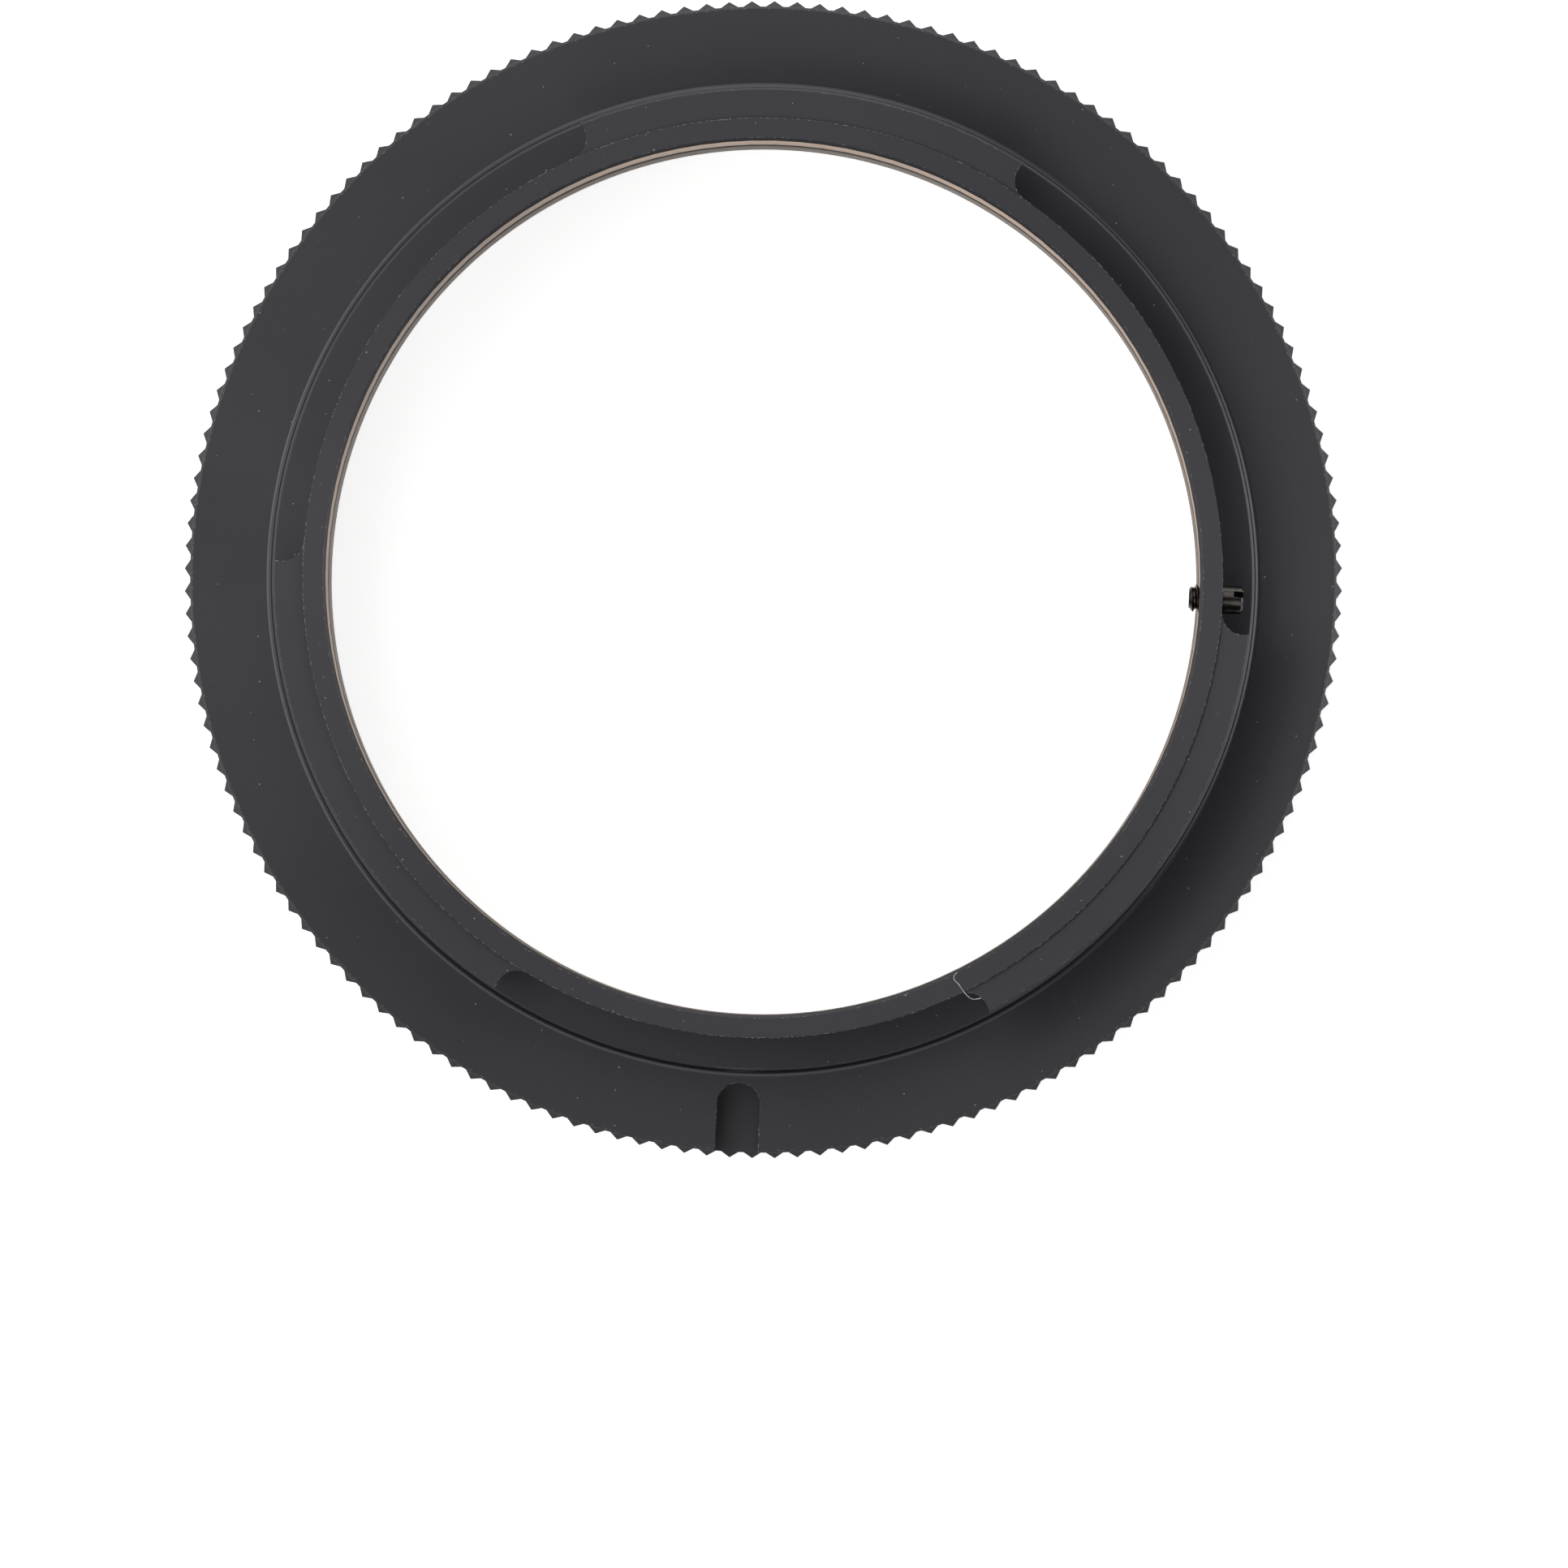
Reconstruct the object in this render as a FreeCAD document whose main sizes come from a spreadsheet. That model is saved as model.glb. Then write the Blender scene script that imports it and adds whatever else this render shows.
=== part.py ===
import FreeCAD, Part
import math
import os

import Sketcher
from FreeCAD import Placement, Rotation, Vector

# Adapter ring between a lens with the 42 mm by 0.75 mm screw thread and a camera with a three-lug bayonet.
# It lies on its lens side. The optical axis is Z, and the camera side faces up.
# Heights are taken from the face that the lens seats on, and radii from the optical axis.
# Angles turn from +X towards +Y, seen from the camera side.
DIMENSIONS = [
    # Bores, from the lens thread outwards
    ("thread_crest_radius", 20.62, "crest of the lens thread"),
    ("thread_entry_break", 0.5, "chamfer at the mouth of the thread"),
    ("thread_exit_break", 0.5, "chamfer at the far end of the thread"),
    ("bore_margin", 0.06, "how much wider the tube's bore is than the thread's crest"),
    ("bore_entry_break", 0.7, "chamfer where the bore opens from the ring's seat"),
    ("bore_edge_break", 0.15, "chamfer round the rear end of the bore"),
    # Bayonet tube and flange
    ("tube_wall", 1.08, "wall of the bayonet tube"),
    ("flange_height", 8.5, "height of the face that meets the camera"),
    ("tube_reach", 5.0, "how far the tube stands behind the flange face"),
    # Lugs and the shoulder that centres them
    ("lug_reach", 1.44, "how far the three lugs stand out of the tube"),
    ("lug_setback", 0.15, "step from the tube's end down to the lugs"),
    ("lug_thickness", 1.75, "lug thickness along the axis"),
    ("lug_edge_break", 0.1, "chamfer round the top of the lugs"),
    ("shoulder_margin", 0.1, "how far the centring shoulder stands outside the lugs"),
    ("shoulder_rise", 0.9, "shoulder height over the flange face"),
    ("shoulder_edge_break", 0.12, "chamfer round the shoulder"),
    ("shoulder_fillet", 0.28, "radius of the fillet between the shoulder and the flange face"),
    # Gaps between the lugs, cut by an end mill
    ("gap_cutter_radius", 1.05, "radius of the cutter that leaves the gap ends"),
    ("gap_a_start", 353.2, "angle at which the first gap starts"),
    ("gap_a_span", 64.8, "angle that the first gap covers"),
    ("gap_b_start", 111.7, "angle at which the second gap starts"),
    ("gap_b_span", 66.3, "angle that the second gap covers"),
    ("gap_c_start", 236.7, "angle at which the third gap starts"),
    ("gap_c_span", 61.0, "angle that the third gap covers"),
    # Slot that the camera's lock pin drops into
    ("lock_slot_angle", 267.3, "direction of the lock slot"),
    ("lock_slot_width", 2.05, "width of the lock slot"),
    ("lock_slot_depth", 2.0, "depth of the lock slot"),
    ("lock_slot_margin", 0.32, "flange face left between the shoulder's fillet and the lock slot"),
    # Flange face and knurled rim
    ("flange_width", 3.52, "width of the flange face"),
    ("rim_edge_break", 0.1, "chamfer round the flange face"),
    ("knurl_depth", 0.27, "height of a knurl tooth"),
    ("knurl_base", 0.81, "width of a knurl tooth at its root"),
    ("knurl_count", 160, "teeth round the rim"),
    ("knurl_bite", 0.05, "how far a tooth's foot lies inside the rim"),
    ("lip_height", 1.2, "height of the plain lip under the knurl"),
    ("lip_setback", 0.5, "how far the lip lies inside the knurl's root"),
    ("lip_edge_break", 0.3, "chamfer round the foot of the lip"),
    # Ring that carries the lens thread
    ("ring_wall", 2.38, "wall of the thread ring"),
    ("ring_height", 6.5, "height of the thread ring"),
    ("ring_clearance", 0.05, "running clearance round and behind the thread ring"),
    ("ring_edge_break", 0.2, "chamfer on the ring's outer edges"),
    ("vee_depth", 0.7, "depth of the groove that the set screws bite in"),
    ("vee_height", 3.25, "height of the groove and of the set screws"),
    # Set screws that clamp the thread ring
    ("set_screw_angle", 87.3, "direction of the first set screw"),
    ("set_screw_radius", 0.95, "outside of a set screw"),
    ("set_screw_recess", 0.7, "how far a set screw's slotted end lies inside the knurl's root"),
    ("set_screw_clearance", 0.05, "clearance round a set screw in its hole"),
    ("set_screw_tip_gap", 0.07, "gap from the cone's apex to the bottom of the groove"),
    ("set_screw_tip_flat", 0.12, "radius of the flat at the cone's tip"),
    ("screw_edge_break", 0.1, "chamfer round the slotted ends of the screws"),
    ("screw_slot_width", 0.3, "width of the screwdriver slots"),
    ("screw_slot_depth", 0.45, "depth of the screwdriver slots"),
    # Stop screw that ends the turn in the camera
    ("stop_angle", 357.4, "direction of the stop screw"),
    ("stop_rise", 2.8, "height of the stop screw over the flange face"),
    ("stop_radius", 0.675, "outside of the stop screw"),
    ("stop_recess", 0.45, "how far the stop screw's slotted end lies inside the lugs' outside"),
    ("stop_reach", 0.5, "how far the stop screw's tip reaches into the bore"),
    ("stop_point_break", 0.2, "chamfer round the stop screw's tip"),
    ("stop_clearance", 0.02, "clearance round the stop screw in its hole"),
]

# Radii, each built on the one inside it
BORE = "(dims.thread_crest_radius + dims.bore_margin)"
TUBE = f"({BORE} + dims.tube_wall)"
LUGS = f"({TUBE} + dims.lug_reach)"
SHOULDER = f"({LUGS} + dims.shoulder_margin)"
FACE_INNER = f"({SHOULDER} + dims.shoulder_fillet)"
FACE_OUTER = f"({FACE_INNER} + dims.flange_width)"
KNURL_ROOT = f"({FACE_OUTER} + dims.rim_edge_break)"
KNURL_TIP = f"({KNURL_ROOT} + dims.knurl_depth)"
LIP = f"({KNURL_ROOT} - dims.lip_setback)"
RING = "(dims.thread_crest_radius + dims.ring_wall)"
RING_SEAT = f"({RING} + dims.ring_clearance)"

# Heights
TUBE_END = "(dims.flange_height + dims.tube_reach)"
LUG_TOP = f"({TUBE_END} - dims.lug_setback)"
SHOULDER_TOP = "(dims.flange_height + dims.shoulder_rise)"
STOP_HEIGHT = "(dims.flange_height + dims.stop_rise)"

SET_SCREWS = 3
FULL_TURN = 360
# How far a cutting tool runs past the metal that it cuts
OVERRUN = 1
# Circle that an outline's corners start out on
START_CENTRE = 10
START_RADIUS = 5


def make_sheet(doc):
    """Write the driving dimensions, one row each, into the document's spreadsheet."""
    sheet = doc.addObject("Spreadsheet::Sheet", "dims")
    for row, (name, value, meaning) in enumerate(DIMENSIONS, start=1):
        sheet.set(f"A{row}", str(value))
        sheet.setAlias(f"A{row}", name)
        sheet.set(f"B{row}", meaning)
    doc.recompute()
    return sheet


def make_body(doc, name):
    body = doc.addObject("PartDesign::Body", name)
    body.Label = name
    return body


def new_sketch(body, name, role):
    """Start a sketch on one of the body's own origin planes."""
    plane = next(item for item in body.Origin.OriginFeatures if item.Role == role)
    sketch = body.newObject("Sketcher::SketchObject", name)
    sketch.AttachmentSupport = (plane, [""])
    sketch.MapMode = "FlatFace"
    return sketch


def turn_sketch(sketch, axis, angle):
    """Turn a sketch about one of its own axes by an angle given as an expression."""
    sketch.AttachmentOffset = Placement(Vector(0, 0, 0), Rotation(axis, 1))
    sketch.setExpression("AttachmentOffset.Rotation.Angle", angle)


def hold(sketch, expression, *constraint):
    """Add one dimension to a sketch and tie its value to an expression."""
    index = sketch.addConstraint(Sketcher.Constraint(*constraint))
    sketch.renameConstraint(index, f"held_{index}")
    sketch.setExpression(f"Constraints.held_{index}", expression)


def draw_outline(sketch, corners):
    """Draw a closed outline of straight sides.

    Each corner is a pair of expressions, its distances from the sketch's origin. The corners start out
    spread round a circle, and their dimensions then carry them to their places.
    """
    first = sketch.GeometryCount
    count = len(corners)
    middle = Vector(START_CENTRE, START_CENTRE, 0)
    turns = [math.tau * i / count for i in range(count)]
    guess = [middle + START_RADIUS * Vector(math.cos(turn), math.sin(turn), 0) for turn in turns]
    for i in range(count):
        sketch.addGeometry(Part.LineSegment(guess[i], guess[(i + 1) % count]), False)
    for i in range(count):
        sketch.addConstraint(Sketcher.Constraint("Coincident", first + i, 2, first + (i + 1) % count, 1))
    for i, (across, up) in enumerate(corners):
        hold(sketch, across, "DistanceX", -1, 1, first + i, 1, guess[i].x)
        hold(sketch, up, "DistanceY", -1, 1, first + i, 1, guess[i].y)


def draw_circle(sketch, radius, across, up):
    """Draw a circle whose radius and centre are expressions."""
    middle = Vector(START_CENTRE, START_CENTRE, 0)
    index = sketch.addGeometry(Part.Circle(middle, Vector(0, 0, 1), START_RADIUS), False)
    hold(sketch, radius, "Radius", index, START_RADIUS)
    hold(sketch, across, "DistanceX", -1, 1, index, 3, middle.x)
    hold(sketch, up, "DistanceY", -1, 1, index, 3, middle.y)


def revolve(body, name, corners, axis="V_Axis"):
    """Turn an outline in the XZ plane through a full circle about one of the sketch's axes."""
    sketch = new_sketch(body, f"{name}_outline", "XZ_Plane")
    draw_outline(sketch, corners)
    feature = body.newObject("PartDesign::Revolution", name)
    feature.Profile = sketch
    feature.ReferenceAxis = (sketch, [axis])
    feature.Angle = FULL_TURN
    return feature


def polar_pattern(body, name, original, occurrences):
    """Repeat a feature round Z."""
    pattern = body.newObject("PartDesign::PolarPattern", name)
    pattern.Originals = [original]
    z_axis = next(item for item in body.Origin.OriginFeatures if item.Role == "Z_Axis")
    pattern.Axis = (z_axis, [""])
    pattern.Angle = FULL_TURN
    pattern.setExpression("Occurrences", occurrences)
    body.Tip = pattern
    return pattern


def turn_blank(body):
    """Turn the bayonet body before it is milled: tube, lug collar, shoulder, flange, rim and ring seat."""
    seat = "dims.ring_height + dims.ring_clearance"
    lug_foot = f"{LUG_TOP} - dims.lug_thickness"
    corners = [
        (f"{BORE} + dims.bore_entry_break", seat),
        (BORE, f"{seat} + dims.bore_entry_break"),
        (BORE, f"{TUBE_END} - dims.bore_edge_break"),
        (f"{BORE} + dims.bore_edge_break", TUBE_END),
        (TUBE, TUBE_END),
        (TUBE, LUG_TOP),
        (f"{LUGS} - dims.lug_edge_break", LUG_TOP),
        (LUGS, f"{LUG_TOP} - dims.lug_edge_break"),
        (LUGS, lug_foot),
        (TUBE, lug_foot),
        (TUBE, SHOULDER_TOP),
        (f"{SHOULDER} - dims.shoulder_edge_break", SHOULDER_TOP),
        (SHOULDER, f"{SHOULDER_TOP} - dims.shoulder_edge_break"),
        (SHOULDER, "dims.flange_height"),
        (FACE_OUTER, "dims.flange_height"),
        (KNURL_ROOT, "dims.flange_height - dims.rim_edge_break"),
        (KNURL_ROOT, "dims.lip_height"),
        (LIP, "dims.lip_height"),
        (LIP, "dims.lip_edge_break"),
        (f"{LIP} - dims.lip_edge_break", "0"),
        (f"{RING_SEAT} + dims.ring_edge_break", "0"),
        (RING_SEAT, "dims.ring_edge_break"),
        (RING_SEAT, seat),
    ]
    return revolve(body, "turned_blank", corners)


def fill_shoulder_root(body):
    """Add the concave fillet between the shoulder and the flange face."""
    sketch = new_sketch(body, "shoulder_root_outline", "XZ_Plane")
    start = START_CENTRE
    corner = Vector(start, start, 0)
    centre = corner + Vector(START_RADIUS, START_RADIUS, 0)
    on_face = corner + Vector(START_RADIUS, 0, 0)
    on_shoulder = corner + Vector(0, START_RADIUS, 0)
    sketch.addGeometry([
        Part.LineSegment(corner, on_face),
        Part.ArcOfCircle(Part.Circle(centre, Vector(0, 0, 1), START_RADIUS), math.pi, 3 * math.pi / 2),
        Part.LineSegment(on_shoulder, corner),
    ], False)
    sketch.addConstraint([
        Sketcher.Constraint("Tangent", 0, 2, 1, 2),
        Sketcher.Constraint("Tangent", 1, 1, 2, 1),
        Sketcher.Constraint("Coincident", 2, 2, 0, 1),
        Sketcher.Constraint("Horizontal", 0),
        Sketcher.Constraint("Vertical", 2),
    ])
    hold(sketch, "dims.shoulder_fillet", "Radius", 1, START_RADIUS)
    hold(sketch, SHOULDER, "DistanceX", -1, 1, 0, 1, start)
    hold(sketch, "dims.flange_height", "DistanceY", -1, 1, 0, 1, start)
    fillet = body.newObject("PartDesign::Revolution", "shoulder_root")
    fillet.Profile = sketch
    fillet.ReferenceAxis = (sketch, ["V_Axis"])
    fillet.Angle = FULL_TURN
    return fillet


def knurl_rim(body):
    """Raise the straight knurl round the rim: sharp ridges whose ends slope back at 45 degrees.

    The wedge's Y points outwards. Its foot lies just inside the rim, and its top edge is the ridge.
    """
    rise = "(dims.knurl_depth + dims.knurl_bite)"
    half_foot = f"dims.knurl_base / 2 * {rise} / dims.knurl_depth"
    upper_end = "dims.flange_height - dims.rim_edge_break"
    tooth = body.newObject("PartDesign::AdditiveWedge", "tooth")
    tooth.Placement = Placement(Vector(0, 0, 0), Rotation(Vector(0, 0, 1), 1))
    tooth.setExpression("Placement.Rotation.Angle", "270 + 180 / dims.knurl_count")
    sides = {
        "Xmin": f"-1 * {half_foot}",
        "Xmax": half_foot,
        "Ymin": f"{KNURL_ROOT} - dims.knurl_bite",
        "Ymax": KNURL_TIP,
        "Zmin": "dims.lip_height",
        "Zmax": upper_end,
        "X2min": "0",
        "X2max": "0",
        "Z2min": f"dims.lip_height + {rise}",
        "Z2max": f"{upper_end} - {rise}",
    }
    for side, place in sides.items():
        tooth.setExpression(side, place)
    polar_pattern(body, "knurl", tooth, "dims.knurl_count")


def draw_gap_arcs(sketch, inner, cutter, span):
    """Draw the outline of a gap, round at both ends, at the sizes given, and join its arcs.

    The arcs are, in order: the tube's wall, the outer side, the upper end and the lower end.
    """
    outer = inner + 2 * cutter
    path = inner + cutter
    half = span / 2 - math.asin(cutter / path)
    upper = path * Vector(math.cos(half), math.sin(half), 0)
    lower = Vector(upper.x, -upper.y, 0)
    axis = Vector(0, 0, 1)
    centre = Vector(0, 0, 0)
    sketch.addGeometry([
        Part.ArcOfCircle(Part.Circle(centre, axis, inner), -half, half),
        Part.ArcOfCircle(Part.Circle(centre, axis, outer), -half, half),
        Part.ArcOfCircle(Part.Circle(upper, axis, cutter), half, half + math.pi),
        Part.ArcOfCircle(Part.Circle(lower, axis, cutter), math.pi - half, math.tau - half),
    ], False)
    sketch.addConstraint([
        Sketcher.Constraint("Coincident", 0, 3, -1, 1),
        Sketcher.Constraint("Coincident", 1, 3, -1, 1),
        Sketcher.Constraint("Tangent", 0, 2, 2, 2),
        Sketcher.Constraint("Tangent", 1, 2, 2, 1),
        Sketcher.Constraint("Tangent", 0, 1, 3, 1),
        Sketcher.Constraint("Tangent", 1, 1, 3, 2),
    ])


def mill_gap(body, sheet, letter):
    """Mill one gap between two lugs, down to the shoulder, with the cutter running along the tube's wall."""
    tube = sheet.thread_crest_radius + sheet.bore_margin + sheet.tube_wall
    cutter = sheet.gap_cutter_radius
    path = f"({TUBE} + dims.gap_cutter_radius)"
    half_angle = f"(dims.gap_{letter}_span * 0.5 deg - asin(dims.gap_cutter_radius / {path}))"
    half_chord = f"{path} * sin({half_angle})"
    sketch = new_sketch(body, f"gap_{letter}_outline", "XY_Plane")
    sketch.setExpression("AttachmentOffset.Base.z", TUBE_END)
    turn_sketch(sketch, Vector(0, 0, 1), f"dims.gap_{letter}_start + dims.gap_{letter}_span / 2")
    draw_gap_arcs(sketch, tube, cutter, math.radians(sheet.get(f"gap_{letter}_span")))
    hold(sketch, TUBE, "Radius", 0, tube)
    hold(sketch, f"{TUBE} + 2 * dims.gap_cutter_radius", "Radius", 1, tube + 2 * cutter)
    hold(sketch, half_chord, "DistanceY", -1, 1, 2, 3, cutter)
    hold(sketch, f"-1 * {half_chord}", "DistanceY", -1, 1, 3, 3, -cutter)
    pocket = body.newObject("PartDesign::Pocket", f"gap_{letter}")
    pocket.Profile = sketch
    pocket.setExpression("Length", f"{TUBE_END} - {SHOULDER_TOP}")
    return pocket


def mill_lock_slot(body):
    """Mill the slot for the camera's lock pin, round at its inner end and open at the rim."""
    radius = "dims.lock_slot_width / 2"
    sketch = new_sketch(body, "lock_slot_outline", "XY_Plane")
    sketch.setExpression("AttachmentOffset.Base.z", "dims.flange_height")
    turn_sketch(sketch, Vector(0, 0, 1), "dims.lock_slot_angle")
    middle = START_CENTRE
    half = START_RADIUS
    end = middle + half
    quarter = math.pi / 2
    sketch.addGeometry([
        Part.ArcOfCircle(Part.Circle(Vector(middle, 0, 0), Vector(0, 0, 1), half), quarter, 3 * quarter),
        Part.LineSegment(Vector(middle, -half, 0), Vector(end, -half, 0)),
        Part.LineSegment(Vector(end, -half, 0), Vector(end, half, 0)),
        Part.LineSegment(Vector(end, half, 0), Vector(middle, half, 0)),
    ], False)
    sketch.addConstraint([
        Sketcher.Constraint("PointOnObject", 0, 3, -1),
        Sketcher.Constraint("Tangent", 0, 2, 1, 1),
        Sketcher.Constraint("Coincident", 1, 2, 2, 1),
        Sketcher.Constraint("Coincident", 2, 2, 3, 1),
        Sketcher.Constraint("Tangent", 3, 2, 0, 1),
        Sketcher.Constraint("Horizontal", 1),
        Sketcher.Constraint("Horizontal", 3),
        Sketcher.Constraint("Vertical", 2),
    ])
    hold(sketch, radius, "Radius", 0, half)
    hold(sketch, f"{FACE_INNER} + dims.lock_slot_margin + {radius}", "DistanceX", -1, 1, 0, 3, middle)
    hold(sketch, f"{KNURL_TIP} + {OVERRUN}", "DistanceX", -1, 1, 2, 1, end)
    slot = body.newObject("PartDesign::Pocket", "lock_slot")
    slot.Profile = sketch
    slot.setExpression("Length", "dims.lock_slot_depth")
    return slot


def drill_outwards(body, name, angle, height, radius, reach):
    """Drill a radial hole from the axis out to a given radius."""
    sketch = new_sketch(body, f"{name}_outline", "YZ_Plane")
    turn_sketch(sketch, Vector(0, 1, 0), angle)
    draw_circle(sketch, radius, "0", height)
    hole = body.newObject("PartDesign::Pocket", name)
    hole.Profile = sketch
    hole.Reversed = True
    hole.setExpression("Length", reach)
    return hole


def make_bayonet_body(doc, sheet):
    """The one-piece bayonet body, with its milled lugs, knurled rim, lock slot and screw holes."""
    body = make_body(doc, "bayonet_body")
    turn_blank(body)
    fill_shoulder_root(body)
    for letter in "abc":
        mill_gap(body, sheet, letter)
    drill_outwards(body, "stop_screw_hole", "dims.stop_angle", STOP_HEIGHT,
                   "dims.stop_radius + dims.stop_clearance", LUGS)
    knurl_rim(body)
    mill_lock_slot(body)
    hole = drill_outwards(body, "set_screw_hole", "dims.set_screw_angle", "dims.vee_height",
                          "dims.set_screw_radius + dims.set_screw_clearance", f"{KNURL_TIP} + {OVERRUN}")
    polar_pattern(body, "set_screw_holes", hole, str(SET_SCREWS))
    return body


def make_thread_ring(doc):
    """The ring that the lens screws into, with the groove that the set screws bite in."""
    body = make_body(doc, "t_thread_ring")
    revolve(body, "turned_ring", [
        ("dims.thread_crest_radius", "dims.thread_entry_break"),
        ("dims.thread_crest_radius", "dims.ring_height - dims.thread_exit_break"),
        ("dims.thread_crest_radius + dims.thread_exit_break", "dims.ring_height"),
        (f"{RING} - dims.ring_edge_break", "dims.ring_height"),
        (RING, "dims.ring_height - dims.ring_edge_break"),
        (RING, "dims.vee_height + dims.vee_depth"),
        (f"{RING} - dims.vee_depth", "dims.vee_height"),
        (RING, "dims.vee_height - dims.vee_depth"),
        (RING, "dims.ring_edge_break"),
        (f"{RING} - dims.ring_edge_break", "0"),
        ("dims.thread_crest_radius + dims.thread_entry_break", "0"),
    ])
    return body


def cut_screwdriver_slot(body, outer_end, radius):
    """Cut a screwdriver slot, in line with Z, across the outer end of a screw that lies along X."""
    sketch = new_sketch(body, "driver_slot_outline", "XY_Plane")
    half_width = "dims.screw_slot_width / 2"
    draw_outline(sketch, [
        (f"{outer_end} - dims.screw_slot_depth", f"-1 * {half_width}"),
        (f"{outer_end} + {OVERRUN}", f"-1 * {half_width}"),
        (f"{outer_end} + {OVERRUN}", half_width),
        (f"{outer_end} - dims.screw_slot_depth", half_width),
    ])
    slot = body.newObject("PartDesign::Pocket", "driver_slot")
    slot.Profile = sketch
    slot.Midplane = True
    slot.setExpression("Length", f"2 * ({radius}) + {OVERRUN}")
    return slot


def place_radially(body, angle, height):
    """Turn a screw, drawn along X, to its own direction and lift it to its height."""
    body.Placement = Placement(Vector(0, 0, 1), Rotation(Vector(0, 0, 1), 1))
    body.setExpression("Placement.Rotation.Angle", angle)
    body.setExpression("Placement.Base.z", height)


def make_set_screw(doc, number):
    """A headless set screw whose cone sits in the thread ring's groove."""
    body = make_body(doc, f"set_screw_{number + 1}")
    apex = f"({RING} - dims.vee_depth + dims.set_screw_tip_gap)"
    tip = f"{apex} + dims.set_screw_tip_flat"
    outer_end = f"({KNURL_ROOT} - dims.set_screw_recess)"
    revolve(body, "turned_screw", [
        (tip, "0"),
        (tip, "dims.set_screw_tip_flat"),
        (f"{apex} + dims.set_screw_radius", "dims.set_screw_radius"),
        (f"{outer_end} - dims.screw_edge_break", "dims.set_screw_radius"),
        (outer_end, "dims.set_screw_radius - dims.screw_edge_break"),
        (outer_end, "0"),
    ], axis="H_Axis")
    cut_screwdriver_slot(body, outer_end, "dims.set_screw_radius")
    place_radially(body, f"dims.set_screw_angle + {number} * {FULL_TURN / SET_SCREWS}", "dims.vee_height")
    return body


def make_stop_screw(doc):
    """The headless screw through the tube's wall that stops the turn in the camera."""
    body = make_body(doc, "stop_screw")
    tip = f"({BORE} - dims.stop_reach)"
    outer_end = f"({LUGS} - dims.stop_recess)"
    revolve(body, "turned_screw", [
        (tip, "0"),
        (tip, "dims.stop_radius - dims.stop_point_break"),
        (f"{tip} + dims.stop_point_break", "dims.stop_radius"),
        (f"{outer_end} - dims.screw_edge_break", "dims.stop_radius"),
        (outer_end, "dims.stop_radius - dims.screw_edge_break"),
        (outer_end, "0"),
    ], axis="H_Axis")
    cut_screwdriver_slot(body, outer_end, "dims.stop_radius")
    place_radially(body, "dims.stop_angle", STOP_HEIGHT)
    return body


def check_document(doc, pieces):
    """Stop if any object failed, or if a piece isn't one valid solid."""
    for item in doc.Objects:
        if "Invalid" in item.State or "Error" in item.State:
            raise RuntimeError(f"{item.Name} failed: {item.State}")
    for piece in pieces:
        shape = piece.Shape
        if shape.isNull() or not shape.isValid() or len(shape.Solids) != 1:
            raise RuntimeError(f"{piece.Label} is not one valid solid")


def main():
    doc = FreeCAD.newDocument("t_mount_adapter")
    sheet = make_sheet(doc)
    pieces = [make_bayonet_body(doc, sheet), make_thread_ring(doc)]
    pieces += [make_set_screw(doc, number) for number in range(SET_SCREWS)]
    pieces.append(make_stop_screw(doc))
    doc.recompute()
    check_document(doc, pieces)
    os.makedirs("parts", exist_ok=True)
    for piece in pieces:
        piece.Shape.exportStep(f"parts/{piece.Label}.step")
        print(piece.Label, round(piece.Shape.Volume, 3), "mm3", len(piece.Shape.Faces), "faces")


main()
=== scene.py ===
"""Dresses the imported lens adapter: finishes, screw threads, wear and the studio that it lies in."""
import math

import bmesh
import bpy
from bpy.props import FloatProperty, FloatVectorProperty, IntProperty, PointerProperty
from mathutils import Matrix, Vector


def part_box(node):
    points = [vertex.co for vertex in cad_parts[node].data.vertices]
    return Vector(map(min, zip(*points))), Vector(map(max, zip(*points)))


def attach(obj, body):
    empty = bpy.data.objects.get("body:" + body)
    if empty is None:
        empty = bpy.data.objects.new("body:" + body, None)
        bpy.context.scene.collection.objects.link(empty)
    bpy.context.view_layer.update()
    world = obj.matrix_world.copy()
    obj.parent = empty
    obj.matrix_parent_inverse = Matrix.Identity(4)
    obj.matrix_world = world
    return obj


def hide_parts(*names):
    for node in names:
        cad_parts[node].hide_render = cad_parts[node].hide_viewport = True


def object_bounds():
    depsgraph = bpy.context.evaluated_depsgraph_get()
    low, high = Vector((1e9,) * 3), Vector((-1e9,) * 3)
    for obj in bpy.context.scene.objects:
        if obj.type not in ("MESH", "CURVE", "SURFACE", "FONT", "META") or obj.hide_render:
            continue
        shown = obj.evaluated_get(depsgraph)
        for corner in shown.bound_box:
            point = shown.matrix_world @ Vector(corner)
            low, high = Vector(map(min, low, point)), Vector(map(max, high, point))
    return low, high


bl_info = {
    "name": "Lens adapter looks",
    "version": (1, 0, 0),
    "blender": (4, 5, 0),
    "location": "View3D > Sidebar > Adapter",
    "description": "Finishes, screw threads, wear and studio for the packed lens adapter",
    "category": "Object",
}

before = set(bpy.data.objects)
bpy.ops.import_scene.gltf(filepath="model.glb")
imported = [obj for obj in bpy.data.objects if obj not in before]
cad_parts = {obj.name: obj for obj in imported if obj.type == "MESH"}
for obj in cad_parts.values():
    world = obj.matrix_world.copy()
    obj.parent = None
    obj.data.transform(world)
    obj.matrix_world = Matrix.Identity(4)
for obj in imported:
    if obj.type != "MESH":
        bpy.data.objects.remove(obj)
CAD_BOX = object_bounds()

MM = 0.001
BODY = "bayonet_body"
RING = "t_thread_ring"
STOP = "stop_screw"
SET_SCREWS = {f"set_screw_{number}": f"clamp_screw_{number}" for number in (1, 2, 3)}

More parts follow.
